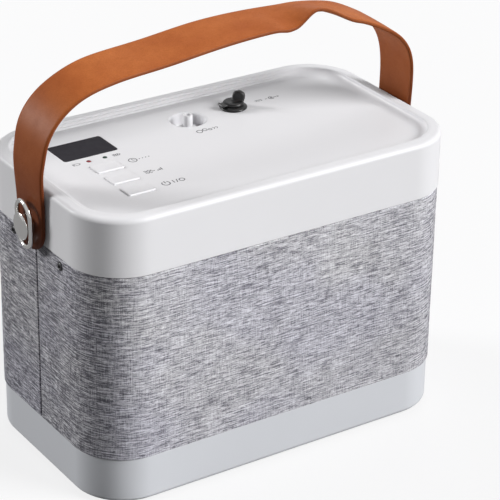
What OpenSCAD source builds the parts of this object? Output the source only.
// Portable oxygen concentrator: a white cap with a sunken control panel, two
// cloth-covered half shells, a silver base and a leather carry strap on chrome
// studs, with the compressor, sieve beds, valves, fan, battery and boards inside.
// Millimetres. Origin: centre of the plane the feet rest on. +X along the long
// side (control end is -X), +Y to the back, +Z up.

/* [Body] */
// Overall width of the cap
body_w = 260; // [250:1:272]
// Overall depth of the cap
body_d = 151; // [148:1:158]
// Plan radius of the vertical corners
corner_r = 35; // [33:1:37]
// Height of the rubber feet below the base
foot_h = 2; // [1.5:0.5:3]
// Height of the base tray
base_h = 30.1; // [29.6:0.1:31]
// Height of the cloth band with its gap under the cap
band_h = 123.2; // [123:0.1:124]
// Height of the cap
cap_h = 37.6; // [37:0.1:38.5]
// Wall thickness of the cap
cap_wall = 2.8; // [2.6:0.1:3]
// Depth of the panel below the rim
panel_drop = 4.9; // [4:0.1:5.5]
// Width of the rim round the panel
rim_w = 8; // [7:0.1:8.5]
// Radius of the cap's top edge
edge_r = 3.3; // [2.5:0.1:3.5]
// Thickness of the cloth skins
cloth_t = 1; // [0.8:0.1:1.2]
// Wall thickness of the half shells
shell_t = 2.6; // [2.4:0.1:2.8]
// Width of the seam between the cloth skins
seam_w = 0.8; // [0.6:0.1:1.2]

/* [Strap] */
// Width of the strap over the arch
strap_w = 36.5; // [32:0.5:38]
// Width of the strap at the studs
strap_end_w = 31.5; // [28:0.5:32]
// Thickness of the strap leather
strap_t = 2.4; // [2:0.1:2.5]
// Height of the arch above the start of the curve
arch_h = 61; // [56:1:66]
// Squareness of the left shoulder
arch_n_left = 2.8; // [2.8:0.05:3.2]
// Squareness of the right shoulder
arch_n_right = 3; // [2.8:0.05:3.3]
// Height of the stud axis above the cap's lower edge
stud_up = 10.7; // [10:0.1:11.5]
// Diameter of the stud's head
stud_head_d = 17; // [15:0.5:18]
// Length of the oval strap ring
ring_l = 32.5; // [31:0.5:34]
// Width of the oval strap ring
ring_w = 20.9; // [20.9:0.1:22]
// Wire diameter of the strap ring
ring_wire = 3; // [2.6:0.1:3]

/* [Panel] */
// Length of a push button
btn_w = 16.5; // [15:0.5:17]
// Width of a push button
btn_d = 9.3; // [8:0.1:9.6]
// Height a button stands above the panel
btn_up = 0.9; // [0.8:0.1:1.2]
// Diameter of the oxygen outlet recess
outlet_d = 22.5; // [21:0.5:24]
// Diameter of the oxygen nozzle's spigot
nozzle_d = 6.2; // [5.8:0.1:6.4]

/* [Machine] */
// Stroke either side of the middle of the double-ended piston
half_stroke = 3; // [2:0.5:3]
// Number of blades on the fan
blades = 9; // [7:1:11]
// Diameter of a battery cell
cell_d = 18.3; // [18:0.1:18.4]

/* [Hidden] */

$fn = 64;
// small overlap between touching parts of one piece
overlap = 0.01;
panel_t = 2.5;
board_t = 1.6;
deck_t = 2.5;
floor_t = 2.6;

// levels, from the feet up
z_base = foot_h;
z_band = z_base + base_h;
z_cap = z_band + band_h;
z_cloth_top = z_cap - 0.5;
z_top = z_cap + cap_h;
z_panel = z_top - panel_drop;
z_under = z_panel - panel_t;
z_stud = z_cap + stud_up;
z_case_screw = z_cap - 6.3;
z_deck = 34;
z_deck_top = z_deck + deck_t;
z_board = z_under - 9.5;
z_board_top = z_board + board_t;
z_plunger = z_board + 3.3;

// corner centres, and the corner radius of each skin about them
corner_x = body_w / 2 - corner_r;
corner_y = body_d / 2 - corner_r;
r_cloth = corner_r - 0.4;
r_shell = r_cloth - cloth_t;
r_in = r_shell - shell_t;
r_base = corner_r - 1.3;
// inner face of the tongues on cap and base that fit inside the shells
tongue_t = 2;
r_tongue = r_in - 0.1 - tongue_t;
// inside faces of the shell walls
inner_x = corner_x + r_in;
inner_y = corner_y + r_in;

// every [x, y] pairing of two lists
function grid(xs, ys) = [for (x = xs, y = ys) [x, y]];

// screws, feet and posts in plan
base_screws_at = grid([-112, 112], [-48, 48]);
deck_screw_x = 73;
deck_screw_y = 62;
deck_screws_at = grid([-deck_screw_x, deck_screw_x], [-deck_screw_y, deck_screw_y]);
case_screw_y = 28.7;
feet_at = grid([-94, 94], [-52, 52]);
foot_r = 8;
display_posts_at = grid([-101, -56], [-39, 50]);

// panel fittings in plan
window_at = [-77.8, 34.9];
window_size = [37.3, 24];
lens_y = 17;
lens_dx = 5.6;
button_x = -78.5;
timing_y = 3.5;
flow_y = -14.7;
power_y = -33;
button_ys = [timing_y, flow_y, power_y];
plunger_h = 2.8;
outlet_at = [0.8, 39.8];
jack_at = [35.6, 41];

// machine places
compressor_at = [-48, -3, 70];
fan_at = [compressor_at.x, 0, 112];
bed_a = [50, -38];
bed_b = [96, -38];
tank_at = [50, 6];
regulator_at = [98, 10];
intake_at = [-93, -34, 128];
muffler_at = [-30, -36, 146];
main_board_y = 60;
z_valve = 161;

// colours shared by several pieces
shell_black = [0.12, 0.12, 0.125];
cloth_grey = [0.62, 0.62, 0.64];
board_green = [0.1, 0.35, 0.2];
chrome = [0.82, 0.82, 0.84];
steel = [0.6, 0.6, 0.62];

// ---------- shape helpers ----------

module up(z) { translate([0, 0, z]) children(); }
module along_x() { rotate([0, 90, 0]) children(); }
module along_y() { rotate([-90, 0, 0]) children(); }
module flipped() { rotate([180, 0, 0]) children(); }
module at_each(points) { for (p = points) translate(p) children(); }

// children at the +X end, and again turned half round at the -X end
module both_ends() {
  for (turn = [0, 180]) rotate([0, 0, turn]) children();
}

// rounded rectangle about the origin, corner centres at (+-x, +-y)
module round_rect(x, y, r) {
  square([2 * x + 2 * r, 2 * y], center = true);
  square([2 * x, 2 * y + 2 * r], center = true);
  for (sx = [-1, 1], sy = [-1, 1]) translate([sx * x, sy * y]) circle(r);
}

// slab of the body's plan with corners of radius r
module body_plate(r, z, h) {
  up(z) linear_extrude(h) round_rect(corner_x, corner_y, r);
}

// wall profile (x = distance out from the corner centres, y = height) swept round the body
module around_body() {
  both_ends() {
    translate([corner_x, corner_y, 0]) rotate_extrude(angle = 90, $fn = 96) children();
    translate([-corner_x, corner_y, 0]) rotate([0, 0, 90])
      rotate_extrude(angle = 90, $fn = 96) children();
    translate([corner_x, corner_y, 0]) rotate([90, 0, 0])
      linear_extrude(2 * corner_y) children();
    rotate([0, 0, 90]) translate([corner_y, corner_x, 0]) rotate([90, 0, 0])
      linear_extrude(2 * corner_x) children();
  }
}

module tube(outer_r, inner_r, h) {
  difference() {
    cylinder(r = outer_r, h = h);
    up(-1) cylinder(r = inner_r, h = h + 2);
  }
}

// screw with its head's seat at the origin, shank down, and a hexagonal socket
module pan_screw(head_r, head_h, shank_r, length, socket_r) {
  difference() {
    union() {
      cylinder(r = head_r, h = head_h);
      up(-length) cylinder(r = shank_r, h = length + overlap);
    }
    up(head_h * 0.45) cylinder(r = socket_r, h = head_h, $fn = 6);
  }
}

// ---------- cap and panel ----------

module cap_profile() {
  difference() {
    union() {
      translate([corner_r - cap_wall, z_cap]) square([cap_wall, cap_h - edge_r]);
      translate([corner_r - rim_w - 3, z_under]) square([rim_w + 3 - edge_r, z_top - z_under]);
      translate([corner_r - edge_r - 1, z_under]) square([edge_r + 1, z_top - edge_r - z_under]);
      translate([corner_r - edge_r, z_top - edge_r]) circle(edge_r, $fn = 48);
      // skirt that drops inside the shells
      translate([r_tongue, z_cap - 3]) square([tongue_t, 3 + 2]);
      translate([r_tongue, z_cap + overlap]) square([corner_r - 1 - r_tongue, 2]);
    }
    translate([corner_r - rim_w - 5, z_panel]) square([4, 20]);
    translate([corner_r - rim_w - 2, z_panel + 1.1]) square([1.6, 20]);
    translate([corner_r - rim_w - 1, z_top - 1.6]) square([1, 3]);
  }
}

// tabs that hang inside the shell at the case screws
module screw_lugs() {
  for (y = [-case_screw_y, case_screw_y])
    translate([inner_x - 5.2, y - 6, z_case_screw - 6])
      cube([4.8, 12, z_cap + 6 - z_case_screw + 6]);
}

module panel_openings() {
  // window seat
  translate(window_at) {
    up(z_panel - 1.5) linear_extrude(5)
      round_rect(window_size.x / 2 - 2.1, window_size.y / 2 - 2.1, 2.2);
    up(z_under - 1) linear_extrude(5)
      round_rect(window_size.x / 2 - 4, window_size.y / 2 - 4, 2);
  }
  up(z_under - 1) {
    for (side = [-1, 1]) translate([window_at.x + side * lens_dx, lens_y])
      cylinder(r = 1.6, h = 6, $fn = 32);
    for (y = button_ys) translate([button_x, y])
      linear_extrude(6) round_rect(btn_w / 2 - 0.5, btn_d / 2 - 0.5, 0.8);
    translate(outlet_at) cylinder(d = outlet_d + 3, h = 6);
    translate(jack_at) cylinder(r = 5.6, h = 6);
  }
}

module top_cover() {
  color([0.93, 0.93, 0.94]) difference() {
    union() {
      around_body() cap_profile();
      body_plate(corner_r - rim_w - 2, z_under, panel_t);
      both_ends() screw_lugs();
      // posts for the display board
      at_each(display_posts_at) up(z_board_top)
        cylinder(r = 3, h = z_under - z_board_top + 0.5);
    }
    panel_openings();
    // pilot holes in the posts, stud holes, case screw pilots
    at_each(display_posts_at) up(z_board) cylinder(r = 1.3, h = 7, $fn = 24);
    both_ends() {
      translate([body_w / 2 - 6, 0, z_stud]) along_x() cylinder(r = 3.1, h = 10);
      for (y = [-case_screw_y, case_screw_y])
        translate([inner_x - 8, y, z_case_screw]) along_x() cylinder(r = 1.45, h = 12, $fn = 24);
    }
  }
}

module display_window() {
  color([0.12, 0.12, 0.13]) translate(window_at) up(z_panel - 1.5)
    linear_extrude(1.6) round_rect(window_size.x / 2 - 2.1, window_size.y / 2 - 2.1, 2.1);
}

// flanged light pipe with a domed top
module lens(x) {
  translate([x, lens_y, 0]) {
    up(z_under - 1.2) cylinder(r = 2.4, h = 1.2, $fn = 32);
    up(z_under - 1) cylinder(r = 1.5, h = panel_t + 1, $fn = 32);
    up(z_panel - 0.9) sphere(1.5, $fn = 32);
  }
}

module power_lens() { color([0.1, 0.2, 0.14]) lens(window_at.x + lens_dx); }
module oxygen_lens() { color([0.75, 0.1, 0.08]) lens(window_at.x - lens_dx); }

module button(y) {
  half_w = btn_w / 2;
  half_d = btn_d / 2;
  z_stem = z_plunger + plunger_h;
  color([0.95, 0.95, 0.95]) translate([button_x, y, 0]) {
    up(z_under - 1) linear_extrude(panel_t + 1 + btn_up - 0.3)
      round_rect(half_w - 0.8, half_d - 0.8, 0.8);
    up(z_panel + btn_up - 0.4) linear_extrude(0.4)
      round_rect(half_w - 0.8, half_d - 0.8, 0.5);
    // flange under the panel, and the stem down to the plunger
    up(z_under - 1.5) linear_extrude(1.3) round_rect(half_w, half_d, 1);
    up(z_stem) cylinder(r = 2, h = z_under - 1.4 - z_stem, $fn = 32);
  }
}

module timing_button() { button(timing_y); }
module flow_button() { button(flow_y); }
module power_button() { button(power_y); }

module plunger(y) {
  color([0.15, 0.15, 0.15]) translate([button_x, y, z_plunger])
    cylinder(r = 1.7, h = plunger_h, $fn = 32);
}

module timing_plunger() { plunger(timing_y); }
module flow_plunger() { plunger(flow_y); }
module power_plunger() { plunger(power_y); }

module outlet_cup() {
  color([0.93, 0.93, 0.93]) translate(outlet_at) difference() {
    union() {
      up(z_panel - 10) cylinder(d = outlet_d + 2.8, h = 10);
      up(z_under - 2) cylinder(d = outlet_d + 7, h = 1.9);
    }
    up(z_panel - 8.4) cylinder(d = outlet_d, h = 10);
    up(z_panel - 12) cylinder(r = 4.05, h = 6, $fn = 48);
  }
}

module outlet_nozzle() {
  color([0.9, 0.9, 0.9]) translate(outlet_at) difference() {
    union() {
      up(z_panel - 8.3) cylinder(r = 5.6, h = 3.4);
      up(z_panel - 16) cylinder(d = nozzle_d, h = 19.5);
      up(z_panel - 12) cylinder(r = 4, h = 5, $fn = 48);
    }
    up(z_panel - 17) cylinder(r = 1.8, h = 22, $fn = 32);
  }
}

module dc_jack() {
  color([0.12, 0.12, 0.13]) translate(jack_at) {
    difference() {
      union() {
        up(z_panel) cylinder(r = 6.3, h = 1.1);
        up(z_under - 10) cylinder(r = 5.5, h = panel_t + 10.5);
        up(z_under - 17) cylinder(r = 6.6, h = 11);
      }
      up(z_under - 8) cylinder(r = 3.15, h = 20);
    }
    // centre pin and the two solder tags
    up(z_under - 8.5) cylinder(r = 1, h = 9, $fn = 24);
    for (x = [-3, 3]) translate([x - 0.4, -1.2, z_under - 21]) cube([0.8, 2.4, 4.5]);
  }
}

module dc_jack_nut() {
  color([0.7, 0.7, 0.72]) translate(jack_at) up(z_under - 3.1) difference() {
    cylinder(r = 8.1, h = 3, $fn = 6);
    up(-1) cylinder(r = 5.55, h = 5);
  }
}

module dc_cap_collar() {
  hole_r = 6.5;
  color([0.06, 0.06, 0.06]) translate(jack_at) rotate_extrude($fn = 64) difference() {
    union() {
      translate([hole_r, z_panel]) square([1.5, 2.4]);
      translate([hole_r, z_panel]) square([2.4, 1.5]);
      translate([8, z_panel + 1.5]) circle(0.9, $fn = 24);
    }
    translate([0, z_panel - 2]) square([hole_r, 10]);
  }
}

module dc_cap_lid() {
  hinge_w = 6;
  hinge_at = [jack_at.x - 9.2, jack_at.y - hinge_w / 2, z_panel + 3.5];
  color([0.07, 0.07, 0.07]) {
    translate(jack_at) {
      rotate_extrude($fn = 64) {
        translate([0, z_panel + 2.6]) square([6.8, 1.4]);
        translate([0, z_panel + 2.6]) square([6.1, 2.1]);
        intersection() {
          translate([6.1, z_panel + 4]) circle(0.7, $fn = 24);
          translate([0, z_panel + 2]) square([7, 4]);
        }
        translate([0, z_panel + 1.5]) square([5.8, 1.3]);
      }
      // pull tab, standing at the side away from the hinge
      translate([5, 1, z_panel + 3]) rotate([0, 10, 0]) rotate([90, 0, -32]) up(-1.3)
        linear_extrude(2.6) {
          translate([-3.2, 0.4]) square([6.4, 4.3]);
          translate([0, 4.4]) circle(3.2, $fn = 32);
        }
    }
    translate(hinge_at) {
      up(-0.9) cube([4.5, hinge_w, 1.5]);
      along_y() cylinder(r = 0.9, h = hinge_w, $fn = 24);
    }
  }
}

// ---------- shells, cloth, base ----------
// side is -1 for the front half and 1 for the rear half

shell_h = z_cloth_top - z_band;

// everything on one side of the seam, starting gap away from it
module half_space(side, gap) {
  translate([-200, side > 0 ? gap : -200 - gap, 0]) cube([400, 200, 300]);
}

module case_screw_holes(side, r) {
  for (end = [-1, 1]) translate([end * (inner_x - 1), side * case_screw_y, z_case_screw])
    rotate([0, end * 90, 0]) cylinder(r = r, h = 8, $fn = 32);
}

// children at the main board's four fixings, pointing back from y
module at_main_posts(y) {
  for (x = [8, 96], z = [74, 138]) translate([x, y, z]) along_y() children();
}

module shell_half(side) {
  z_post = z_deck + 2.6;
  post_h = 19;
  rib_end = inner_y + 0.5;
  difference() {
    union() {
      intersection() {
        difference() {
          body_plate(r_shell, z_band, shell_h);
          body_plate(r_in, z_band - 1, shell_h + 2);
        }
        half_space(side, 0.05);
      }
      // screw posts for the chassis plate, with a rib to the wall
      for (x = [-deck_screw_x, deck_screw_x]) {
        translate([x, side * deck_screw_y, z_post]) cylinder(r = 4, h = post_h, $fn = 32);
        translate([x - 1.5, side > 0 ? deck_screw_y : -rib_end, z_post])
          cube([3, rib_end - deck_screw_y, post_h]);
      }
    }
    for (x = [-deck_screw_x, deck_screw_x]) translate([x, side * deck_screw_y, z_deck + 1])
      cylinder(r = 1.3, h = 12, $fn = 24);
    case_screw_holes(side, 1.7);
  }
}

module front_shell() { color(shell_black) shell_half(-1); }

module rear_shell() {
  lip_h = z_cloth_top - z_band - 12;
  post_y = main_board_y + board_t + 0.1;
  color(shell_black) difference() {
    union() {
      shell_half(1);
      // lip that overlaps inside the front shell, and its root on the rear wall
      for (end = [-1, 1]) {
        translate([end * (inner_x - 1.3) - 0.6, -5, z_band + 4]) cube([1.2, 11, lip_h]);
        translate([end * (inner_x - 0.5) - 0.7, 1, z_band + 4]) cube([1.4, 5, lip_h]);
      }
      // posts for the main board
      at_main_posts(post_y) cylinder(r = 3, h = inner_y + 0.5 - post_y, $fn = 32);
    }
    at_main_posts(main_board_y + 1) cylinder(r = 1.3, h = 7, $fn = 24);
  }
}

module cloth_half(side) {
  difference() {
    intersection() {
      difference() {
        body_plate(r_cloth, z_band + 0.2, shell_h - 0.2);
        body_plate(r_shell, z_band - 1, shell_h + 2);
      }
      half_space(side, seam_w / 2);
    }
    case_screw_holes(side, 2.8);
  }
}

module front_fabric() { color(cloth_grey) cloth_half(-1); }
module rear_fabric() { color(cloth_grey) cloth_half(1); }

module base_profile() {
  edge = 3;
  translate([r_base - 2.6, z_base + edge]) square([2.6, base_h - edge]);
  translate([r_base - 6, z_base]) square([3, 3]);
  // rounded lower edge
  intersection() {
    translate([r_base - edge, z_base + edge]) circle(edge, $fn = 48);
    translate([r_base - edge - 0.1, z_base]) square([edge + 0.1, edge + 0.1]);
  }
  // tongue inside the shells
  translate([r_tongue, z_band - 4]) square([tongue_t, 6.8]);
  translate([r_tongue, z_band - 4]) square([r_base - 1 - r_tongue, 4]);
}

module base_tray() {
  slot_w = 2.8;
  slot_l = 52;
  slot_pitch = 5;
  color([0.82, 0.83, 0.85]) difference() {
    union() {
      around_body() base_profile();
      body_plate(r_base - 4, z_base, floor_t);
      at_each(base_screws_at) up(z_base + 1)
        cylinder(r = 5.4, h = z_deck - z_base - 9, $fn = 48);
    }
    at_each(base_screws_at) {
      cylinder(r = 4.2, h = 8, $fn = 48);
      cylinder(r = 2.2, h = 60, $fn = 48);
    }
    at_each(feet_at) cylinder(r = foot_r + 0.1, h = z_base + 1.2, $fn = 48);
    // air slots under both ends
    for (end = [-1, 1], i = [0 : 5])
      translate([end * (78 + slot_pitch * i) - slot_w / 2, -slot_l / 2, 0])
        cube([slot_w, slot_l, 8]);
  }
}

module rubber_feet() {
  chamfer = 0.6;
  color([0.1, 0.1, 0.1]) at_each(feet_at) {
    up(chamfer) cylinder(r = foot_r, h = z_base + 0.6, $fn = 48);
    cylinder(r1 = foot_r - 0.6, r2 = foot_r, h = chamfer, $fn = 48);
  }
}

module base_screws() {
  color([0.35, 0.35, 0.37]) at_each(base_screws_at) up(8) flipped()
    pan_screw(head_r = 4, head_h = 2.4, shank_r = 1.95, length = 27, socket_r = 1.6);
}

module case_screws() {
  color([0.08, 0.08, 0.08]) both_ends() for (y = [-case_screw_y, case_screw_y])
    translate([corner_x + r_shell, y, z_case_screw]) along_x()
      pan_screw(head_r = 2.6, head_h = 1.3, shank_r = 1.4, length = 7.5, socket_r = 1.1);
}

// ---------- strap and its hardware ----------

z_arch = z_stud + 36;
// distance of the strap's middle line from the centre: at the studs, part way, at the arch
x_leg = body_w / 2 + 3.5 - strap_t / 2;
x_wide = body_w / 2 + 4.7 - strap_t / 2;
x_flare = (x_leg + x_wide) / 2 + 0.1;
arch_steps = 30;

// [x, z] on the squared arch: turn runs from 0 at the leg to 1 at the crown
function arch_point(side, turn) =
  let (power = 2 / (side < 0 ? arch_n_left : arch_n_right), angle = 90 * turn)
  [side * x_wide * pow(cos(angle), power),
   z_arch + (arch_h - strap_t / 2) * pow(sin(angle), power)];

// spaces the stations evenly along the squared curve
function ease(i) = let (u = i / arch_steps) 0.5 * (u + 0.5 - 0.5 * cos(180 * u));

// [x, z] stations of the right leg, bottom to top
strap_leg = [[x_leg, z_stud - 17], [x_leg, z_stud + 10], [x_flare, z_stud + 23]];

// middle line of the strap, left to right: straight leg, squared arch, straight leg
strap_line = concat(
  [for (p = strap_leg) [-p.x, p.y]],
  [for (i = [0 : arch_steps]) arch_point(-1, ease(i))],
  [for (i = [arch_steps - 1 : -1 : 0]) arch_point(1, ease(i))],
  [for (i = [len(strap_leg) - 1 : -1 : 0]) strap_leg[i]]);

function unit(v) = v / norm(v);

function strap_normal(i) =
  let (before = strap_line[max(i - 1, 0)],
       after = strap_line[min(i + 1, len(strap_line) - 1)],
       run = unit(after - before))
  [-run.y, run.x];

module strap_band() {
  last = len(strap_line) - 1;
  polygon(concat(
    [for (i = [0 : last]) strap_line[i] + strap_normal(i) * strap_t / 2],
    [for (i = [last : -1 : 0]) strap_line[i] - strap_normal(i) * strap_t / 2]));
}

// seen from the end: round at the stud, widening to the arch
module strap_outline() {
  half_end = strap_end_w / 2;
  half_arch = strap_w / 2;
  z_full = z_stud + 62;
  z_over = z_stud + 120;
  translate([0, z_stud]) circle(half_end, $fn = 96);
  polygon([[-half_end, z_stud], [half_end, z_stud], [half_arch, z_full],
    [half_arch, z_over], [-half_arch, z_over], [-half_arch, z_full]]);
}

module carry_strap() {
  reach = 160;
  color([0.66, 0.38, 0.2]) difference() {
    intersection() {
      translate([0, 30, 0]) rotate([90, 0, 0]) linear_extrude(60) strap_band();
      translate([-reach, 0, 0]) rotate([90, 0, 90]) linear_extrude(2 * reach) strap_outline();
    }
    translate([-reach, 0, z_stud]) along_x() cylinder(r = 4.1, h = 2 * reach, $fn = 64);
  }
}

// children on the stud axis at both ends, x out from the cap's side wall
module at_studs(x = 0) {
  both_ends() translate([body_w / 2 + x, 0, z_stud]) along_x() children();
}

// turned profile: x = radius, y = distance out from the cap's side wall
module strap_studs() {
  head_r = stud_head_d / 2;
  head_edge = 0.6;
  color([0.8, 0.8, 0.82]) at_studs() rotate_extrude($fn = 96) {
    translate([0, -9.6]) square([3, 14]);
    square([4, 3.8]);
    translate([0, 3.7]) square([7, 5.2]);
    translate([0, 8.8]) square([head_r - head_edge, 2]);
    translate([0, 9.3]) square([head_r, 1]);
    intersection() {
      translate([head_r - head_edge, 9.4]) circle(head_edge, $fn = 24);
      translate([0, 8.8]) square([20, 3]);
    }
  }
}

// oval wire ring, hung at a slight tilt
module strap_ring(end) {
  wire_r = ring_wire / 2;
  bend_r = ring_w / 2 - wire_r;
  straight = (ring_l - ring_w) / 2;
  translate([end * (body_w / 2 + 6.5), 0, z_stud]) rotate([0, end * 4.2, 0])
    up(1) rotate([end * -4, 0, 0]) along_x() both_ends() {
      translate([straight, 0, 0]) rotate([0, 0, -90]) rotate_extrude(angle = 180, $fn = 96)
        translate([bend_r, 0]) circle(wire_r, $fn = 32);
      translate([-straight, bend_r, 0]) along_x()
        cylinder(r = wire_r, h = 2 * straight, $fn = 32);
    }
}

module left_ring() { color(chrome) strap_ring(-1); }
module right_ring() { color(chrome) strap_ring(1); }

module stud_washers() {
  color(steel) at_studs() up(0.02) tube(8, 4.1, 0.8);
}

module stud_nuts() {
  color(steel) at_studs(-cap_wall - 4.2) difference() {
    cylinder(r = 5.8, h = 4, $fn = 6);
    up(-1) cylinder(r = 3.05, h = 6);
  }
}

// ---------- inside: boards ----------

module display_board() {
  color(board_green) difference() {
    translate([-105, -43, z_board]) cube([53, 97, board_t]);
    at_each(display_posts_at) up(z_board - 1) cylinder(r = 1.6, h = 4, $fn = 24);
  }
}

module switch_housings() {
  side = 6.2;
  color([0.2, 0.2, 0.2]) for (y = button_ys)
    translate([button_x, y, z_board_top]) difference() {
      translate([-side / 2, -side / 2, 0]) cube([side, side, 3.5]);
      up(0.8) cylinder(r = 1.8, h = 4, $fn = 32);
    }
}

module display_module() {
  color([0.25, 0.25, 0.27]) translate([window_at.x - 17, window_at.y - 11, z_board_top]) {
    cube([34, 22, 5.8]);
    translate([3, 4, 5.7]) cube([28, 14, 0.7]);
  }
}

// machine screw pointing the other way: head below its seat, shank above
module machine_screw(length) {
  flipped()
    pan_screw(head_r = 2.7, head_h = 1.8, shank_r = 1.25, length = length, socket_r = 1.1);
}

module machine_screws() {
  color([0.55, 0.55, 0.57]) {
    at_each(display_posts_at) up(z_board) machine_screw(7);
    at_main_posts(main_board_y) machine_screw(7);
    at_each(deck_screws_at) up(z_deck) machine_screw(11);
  }
}

module main_board() {
  color(board_green) {
    difference() {
      translate([0, main_board_y, 66]) cube([104, board_t, 80]);
      at_main_posts(main_board_y - 1) cylinder(r = 1.6, h = 4, $fn = 24);
    }
    // parts on its front face: processor, drivers, capacitors and connector
    translate([44, 58.6, 100]) cube([12, 1.5, 12]);
    for (i = [0 : 3]) translate([18 + 8 * i, 56, 74]) cube([6, 4.1, 8]);
    for (i = [0 : 2]) translate([68 + 12 * i, main_board_y + 0.1, 122]) rotate([90, 0, 0])
      cylinder(r = 4, h = 9, $fn = 32);
    translate([20, 54, 126]) cube([26, 6.1, 9]);
  }
}

// ---------- inside: frame and power ----------

// isolators under the compressor, in plan
isolators_at = [for (p = grid([-30, 30], [-14, 14]))
  [compressor_at.x + p.x, compressor_at.y + p.y]];

module chassis_plate() {
  color([0.3, 0.3, 0.32]) difference() {
    union() {
      body_plate(r_in - 2.4, z_deck, deck_t);
      at_each(base_screws_at) up(z_deck - 8) cylinder(r = 5, h = 9, $fn = 48);
    }
    at_each(base_screws_at) up(z_deck - 9) cylinder(r = 2, h = 14, $fn = 48);
    up(z_deck - 1) {
      at_each(deck_screws_at) cylinder(r = 1.7, h = 5, $fn = 24);
      at_each(isolators_at) cylinder(r = 2.1, h = 5, $fn = 24);
      // slots across the plate, then a row of slots along it
      for (x = [-112, 22]) translate([x, -20, 0]) cube([6, 40, 5]);
      for (i = [0 : 2]) translate([-90 + 30 * i, 34, 0]) cube([20, 6, 5]);
    }
  }
}

tray_floor = 1.5;

module battery_tray() {
  size = [136.4, 80.6];
  wall = 1.6;
  color([0.2, 0.25, 0.35]) up(z_base + floor_t) difference() {
    translate([-size.x / 2, -size.y / 2, 0]) cube([size.x, size.y, 15]);
    translate([wall - size.x / 2, wall - size.y / 2, tray_floor])
      cube([size.x - 2 * wall, size.y - 2 * wall, 20]);
    // notches in the long walls
    for (side = [-1, 1]) translate([side * 34 - 12, -45, 6]) cube([24, 90, 20]);
  }
}

// two rows of four cells lying along X
module battery_cells() {
  pitch = 19.2;
  color([0.25, 0.5, 0.75]) for (i = [-1.5 : 1 : 1.5], side = [-1, 1])
    translate([side * 33 - 32.5, i * pitch, z_base + floor_t + tray_floor + cell_d / 2])
      along_x() {
        cylinder(d = cell_d, h = 64);
        cylinder(r = 3, h = 65, $fn = 32);
      }
}

// ---------- inside: compressor ----------
// the barrel lies along X and the crankshaft along Y

case_half_w = 22;
case_half_d = 18;
case_half_h = 25;
barrel_half_l = 48;
shaft_r = 3;
shaft_bore_r = 3.05;
port_x = 55;
crank_pin_r = 5;

module isolators() {
  color([0.12, 0.12, 0.12]) at_each(isolators_at) {
    up(z_deck_top) cylinder(r = 6, h = 8.4, $fn = 32);
    up(z_deck + 0.5) cylinder(r = 2, h = 3, $fn = 24);
  }
}

module compressor_case() {
  wall = 4;
  color([0.7, 0.7, 0.72]) translate(compressor_at) difference() {
    union() {
      translate([-case_half_w, -case_half_d, -case_half_h])
        cube([2 * case_half_w, 2 * case_half_d, 2 * case_half_h]);
      // foot plate
      translate([-38, -19, -case_half_h]) cube([76, 37, 4]);
      // barrel and its cooling fins
      translate([-barrel_half_l, 0, 0]) along_x()
        cylinder(r = 17.9, h = 2 * barrel_half_l, $fn = 96);
      for (end = [-1, 1], i = [0 : 3]) translate([end * (27 + 5 * i) - 0.8, 0, 0]) along_x()
        cylinder(r = 20.4, h = 1.6, $fn = 96);
    }
    translate([wall - case_half_w, wall - case_half_d, wall - case_half_h])
      cube([2 * (case_half_w - wall), 2 * (case_half_d - wall), 2 * (case_half_h - wall)]);
    translate([-50, 0, 0]) along_x() cylinder(r = 15.05, h = 100, $fn = 96);
    translate([0, -30, 0]) along_y() cylinder(r = shaft_bore_r, h = 60, $fn = 48);
  }
}

module cylinder_heads() {
  width = 40;
  fin_x = 52.9;
  color([0.62, 0.63, 0.66]) translate(compressor_at) both_ends() {
    difference() {
      union() {
        translate([barrel_half_l + 0.05, -width / 2, -width / 2]) cube([5, width, width]);
        for (i = [-3 : 3]) translate([fin_x, -width / 2, i * 6 - 1]) cube([8, width, 2]);
        translate([fin_x, -12, -12]) cube([6, 24, 24]);
        // hose port
        translate([port_x, 0, 10]) cylinder(r = 4, h = 9.9, $fn = 32);
      }
      translate([47, 0, 0]) along_x() cylinder(r = 13, h = 3, $fn = 48);
      translate([port_x, 0, -2]) cylinder(r = 1.8, h = 30, $fn = 24);
    }
  }
}

module motor_can() {
  back_y = compressor_at.y + case_half_d + 0.05;
  color([0.45, 0.46, 0.48]) translate([compressor_at.x, back_y, compressor_at.z])
    along_y() difference() {
      union() {
        cylinder(r = 25, h = 45);
        cylinder(r = 9, h = 47);
      }
      up(2.5) cylinder(r = 18.6, h = 40);
      up(-1) cylinder(r = shaft_bore_r, h = 60, $fn = 48);
      up(2.5) cylinder(r = 6, h = 41, $fn = 48);
    }
}

module crank_rotor() {
  color([0.55, 0.5, 0.42]) translate([compressor_at.x, 0, compressor_at.z]) along_y() {
    up(-20.5) cylinder(r = shaft_r, h = 82, $fn = 48);
    // crank pin
    translate([half_stroke, 0, -6]) cylinder(r = crank_pin_r, h = 6, $fn = 48);
    // half-round counterweight on its hub
    up(3) {
      intersection() {
        cylinder(r = 14, h = 5, $fn = 64);
        translate([-20, -20, 0]) cube([20, 40, 5]);
      }
      cylinder(r = 5.5, h = 5, $fn = 48);
    }
    // motor rotor
    up(21) cylinder(r = 18, h = 32, $fn = 96);
  }
}

module piston_yoke() {
  slot_x = crank_pin_r + 2 * half_stroke + 0.4;
  slot_z = crank_pin_r + half_stroke + 0.4;
  frame = 2.6;
  color([0.8, 0.8, 0.82]) translate(compressor_at) difference() {
    union() {
      translate([-slot_x - frame, -3, -slot_z - frame])
        cube([2 * (slot_x + frame), 6, 2 * (slot_z + frame)]);
      // rod and piston at each end
      for (end = [-1, 1]) rotate([0, end * 90, 0]) {
        up(slot_x + 1) cylinder(r = 3, h = 34 - slot_x, $fn = 32);
        up(34) cylinder(r = 15, h = 9, $fn = 96);
      }
    }
    translate([-slot_x, -4, -slot_z]) cube([2 * slot_x, 8, 2 * slot_z]);
  }
}

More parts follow.
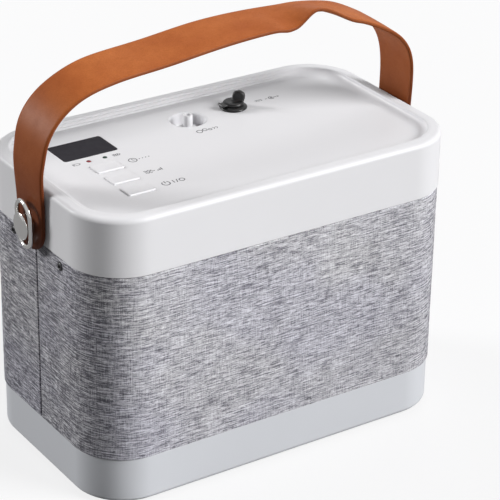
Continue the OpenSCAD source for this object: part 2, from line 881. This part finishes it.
// ---------- inside: gas path ----------

end_cap_h = 10;
z_vessel = z_deck_top + end_cap_h;
bed_h = 95.4;
tank_h = 91.4;
z_valve_block = z_vessel + bed_h + end_cap_h;

module sieve_beds() {
  color([0.75, 0.76, 0.78]) at_each([bed_a, bed_b]) up(z_vessel)
    cylinder(r = 20, h = bed_h, $fn = 96);
}

// end caps of the two beds and of the product tank
module bed_caps() {
  tank_cap_r = 20.2;
  color([0.3, 0.3, 0.33]) {
    at_each([bed_a, bed_b]) for (z = [z_deck_top, z_vessel + bed_h])
      up(z) cylinder(r = 22, h = end_cap_h, $fn = 96);
    translate(tank_at) {
      up(z_deck_top) cylinder(r = tank_cap_r, h = end_cap_h, $fn = 96);
      difference() {
        up(z_vessel + tank_h) cylinder(r = tank_cap_r, h = end_cap_h, $fn = 96);
        translate([0, 12, 139]) cylinder(r = 1.8, h = 20, $fn = 24);
      }
    }
  }
}

module product_tank() {
  color([0.8, 0.8, 0.82]) translate(tank_at) up(z_vessel)
    cylinder(r = 19, h = tank_h, $fn = 96);
}

module valve_block() {
  color([0.72, 0.72, 0.7]) difference() {
    translate([34, -56, z_valve_block]) cube([78, 34, 18]);
    at_each([bed_a, bed_b]) up(151) cylinder(r = 4, h = 8, $fn = 32);
    // galleries along X
    translate([33, -40, z_valve]) along_x() cylinder(r = 3, h = 77, $fn = 32);
    translate([33, -50, z_valve]) along_x() cylinder(r = 3, h = 60, $fn = 32);
  }
}

module solenoid_coils() {
  color([0.12, 0.2, 0.4]) for (bed = [bed_a, bed_b])
    translate([bed.x, -21.95, z_valve]) difference() {
      translate([-10, 0, -9]) cube([20, 30, 18]);
      translate([0, -1, 0]) along_y() cylinder(r = 4, h = 25, $fn = 48);
    }
}

module valve_plunger(x) {
  color([0.75, 0.75, 0.78]) translate([x, -21.4, z_valve]) along_y()
    cylinder(r = 3.93, h = 22, $fn = 48);
}

module valve_plunger_a() { valve_plunger(bed_a.x); }
module valve_plunger_b() { valve_plunger(bed_b.x); }

module fan_frame() {
  color([0.12, 0.12, 0.13]) translate(fan_at) {
    difference() {
      linear_extrude(15) round_rect(30, 30, 6);
      up(-1) cylinder(r = 33.2, h = 17, $fn = 96);
    }
    // spokes, hub and axle
    for (i = [0 : 3]) rotate([0, 0, 45 + 90 * i]) translate([10, -1.5, 0]) cube([25, 3, 2]);
    cylinder(r = 13, h = 2.4);
    up(2) cylinder(r = 1.5, h = 11, $fn = 32);
    // legs down to the deck
    at_each(grid([-33, 33], [-33, 33])) up(z_deck_top - fan_at.z)
      cylinder(r = 2.6, h = fan_at.z - z_deck_top + 0.1, $fn = 32);
  }
}

module fan_rotor() {
  color([0.16, 0.16, 0.17]) translate(fan_at) difference() {
    union() {
      up(3) cylinder(r = 13, h = 11.6);
      for (i = [0 : blades - 1]) rotate([0, 0, 360 / blades * i]) translate([11, 0, 8.8])
        rotate([38, 0, 0]) translate([0, -6.5, -0.7]) cube([20, 13, 1.4]);
    }
    cylinder(r = 1.55, h = 13.2, $fn = 32);
    up(2) tube(11.6, 3.4, 10.5);
  }
}

coil_l = 52;
coil_left = -74;
coil_right = coil_left + coil_l;
coil_y = 25;
z_coil = 102.5;

// six straight runs joined by five half-turn bends
module cooling_coil() {
  tube_r = 2.5;
  pitch = 10;
  color([0.75, 0.45, 0.28]) {
    for (i = [0 : 5]) translate([coil_left, -coil_y + pitch * i, z_coil]) along_x()
      cylinder(r = tube_r, h = coil_l, $fn = 32);
    for (i = [0 : 4]) {
      at_left = i % 2 == 0;
      translate([at_left ? coil_left : coil_right, -coil_y + pitch * (i + 0.5), z_coil])
        rotate([0, 0, at_left ? 90 : -90])
          rotate_extrude(angle = 180, $fn = 64) translate([pitch / 2, 0])
            circle(tube_r, $fn = 32);
    }
  }
}

module intake_filter() {
  color([0.85, 0.85, 0.83]) translate(intake_at) {
    cylinder(r = 19, h = 26);
    up(25.9) cylinder(r = 20.5, h = 4);
    up(-5) cylinder(r = 3.5, h = 6, $fn = 32);
    for (angle = [0 : 30 : 330]) rotate([0, 0, angle])
      translate([18.4, -1, 3]) cube([1.8, 2, 20]);
  }
}

module exhaust_muffler() {
  color([0.2, 0.2, 0.22]) translate(muffler_at) along_y() {
    cylinder(r = 13, h = 48);
    up(-4) cylinder(r = 3.5, h = 5, $fn = 32);
    up(47.9) cylinder(r = 6, h = 4, $fn = 32);
  }
}

module flow_regulator() {
  side = 22;
  color([0.78, 0.62, 0.32]) translate(regulator_at) {
    translate([-side / 2, -side / 2, z_deck_top]) cube([side, side, 26]);
    up(z_deck + 28.4) cylinder(r = 6, h = 6, $fn = 32);
    translate([-11.9, 0, 54]) along_x() cylinder(r = 4, h = 2, $fn = 32);
  }
}

module bacteria_filter() {
  color([0.88, 0.9, 0.92]) translate(regulator_at) up(108) {
    cylinder(r = 4, h = 6, $fn = 32);
    up(5.9) cylinder(r1 = 8, r2 = 15, h = 4);
    up(9.8) cylinder(r = 15, h = 5);
    up(14.7) cylinder(r1 = 15, r2 = 8, h = 4);
    up(18.6) cylinder(r = 4, h = 5.4, $fn = 32);
  }
}

// ---------- inside: hoses and foam ----------

hose_r = 2.8;
hose_sides = 12;
bend_r = 6;
bend_steps = 4;
left_port_x = compressor_at.x - port_x;
right_port_x = compressor_at.x + port_x;

// [x, y, z] corners of each hose, end to end
hose_routes = [
  // intake filter to the left head
  [[intake_at.x, intake_at.y, 122.9], [intake_at.x, intake_at.y, 110],
   [left_port_x, -3, 104], [left_port_x, -3, 90.1]],
  // right head to the coil
  [[right_port_x, -3, 90.1], [right_port_x, -3, 102], [-6, -coil_y, z_coil],
   [coil_right + 0.1, -coil_y, z_coil]],
  // coil to the valve block
  [[coil_right + 0.1, coil_y, z_coil], [-4, coil_y, z_coil], [20, 22, 134],
   [22, -40, z_valve], [33.9, -40, z_valve]],
  // valve block to the muffler
  [[33.9, -50, z_valve], [24, -50, z_valve], [-6, -52, 150],
   [muffler_at.x, -52, muffler_at.z], [muffler_at.x, -40.1, muffler_at.z]],
  // tank to the regulator
  [[50, 18, 148], [50, 18, 157], [64, 40, 152], [77, 38, 140], [78, 34, 66],
   [76, 10, 54], [86, 10, 54]],
  // regulator to the bacteria filter
  [[98, 10, 68.5], [98, 10, 107.9]],
  // bacteria filter to the outlet
  [[98, 10, 132.1], [98, 10, 141], [88, 38, 157], [30, 50, 163.5],
   [outlet_at.x, outlet_at.y, 162], [outlet_at.x, outlet_at.y, z_panel - 16.1]],
];

// carries a sideways direction along the list of directions, without twist
function carry(directions, i, sideways) = i == len(directions) ? [] :
  let (d = directions[i], next = unit(sideways - d * (sideways * d)))
  concat([next], carry(directions, i + 1, next));

// [point, direction] stations round the bend at a corner, between unit runs before and after
function bend(corner, before, after) =
  let (angle = acos(before * after),
       inward = unit(after - before * (before * after)),
       centre = corner - before * bend_r * tan(angle / 2) + inward * bend_r)
  [for (i = [0 : bend_steps]) let (a = angle * i / bend_steps)
    [centre - inward * bend_r * cos(a) + before * bend_r * sin(a),
     before * cos(a) + inward * sin(a)]];

// a round hose along the points, bent at its corners
module hose(points) {
  n = len(points);
  m = hose_sides;
  runs = [for (i = [0 : n - 2]) unit(points[i + 1] - points[i])];
  bends = [for (i = [1 : 1 : n - 2]) each bend(points[i], runs[i - 1], runs[i])];
  line = concat([[points[0], runs[0]]], bends, [[points[n - 1], runs[n - 2]]]);
  directions = [for (station = line) station[1]];
  across = carry(directions, 0, abs(runs[0].z) > 0.7 ? [1, 0, 0] : [0, 0, 1]);
  last = len(line) - 1;
  polyhedron(
    points = [for (i = [0 : last], j = [0 : m - 1]) let (a = 360 / m * j)
      line[i][0] + hose_r * (cos(a) * across[i] + sin(a) * cross(directions[i], across[i]))],
    faces = concat(
      [[for (j = [0 : m - 1]) j]],
      [for (i = [0 : last - 1], j = [0 : m - 1])
        [i * m + j, i * m + m + j, i * m + m + (j + 1) % m]],
      [for (i = [0 : last - 1], j = [0 : m - 1])
        [i * m + j, i * m + m + (j + 1) % m, i * m + (j + 1) % m]],
      [[for (j = [m - 1 : -1 : 0]) last * m + j]]));
}

module hoses() {
  color([0.85, 0.87, 0.88]) for (route = hose_routes) hose(route);
}

// a pad on the front wall and one on the back wall, clear of the board posts
module acoustic_foam() {
  pad = [180, 5, 84];
  color([0.22, 0.22, 0.23]) {
    translate([-pad.x / 2, -inner_y, 66]) cube(pad);
    difference() {
      translate([-pad.x / 2, inner_y - pad.y, 66]) cube(pad);
      at_main_posts(main_board_y) cylinder(r = 3.4, h = 20, $fn = 32);
    }
  }
}

top_cover();
display_window();
power_lens();
oxygen_lens();
timing_button();
flow_button();
power_button();
timing_plunger();
flow_plunger();
power_plunger();
outlet_cup();
outlet_nozzle();
dc_jack();
dc_jack_nut();
dc_cap_collar();
dc_cap_lid();
front_shell();
rear_shell();
front_fabric();
rear_fabric();
base_tray();
rubber_feet();
base_screws();
case_screws();
carry_strap();
strap_studs();
left_ring();
right_ring();
stud_washers();
stud_nuts();
display_board();
switch_housings();
display_module();
machine_screws();
chassis_plate();
battery_tray();
battery_cells();
isolators();
compressor_case();
cylinder_heads();
motor_can();
crank_rotor();
piston_yoke();
sieve_beds();
bed_caps();
product_tank();
valve_block();
solenoid_coils();
valve_plunger_a();
valve_plunger_b();
fan_frame();
fan_rotor();
cooling_coil();
main_board();
intake_filter();
exhaust_muffler();
flow_regulator();
bacteria_filter();
hoses();
acoustic_foam();
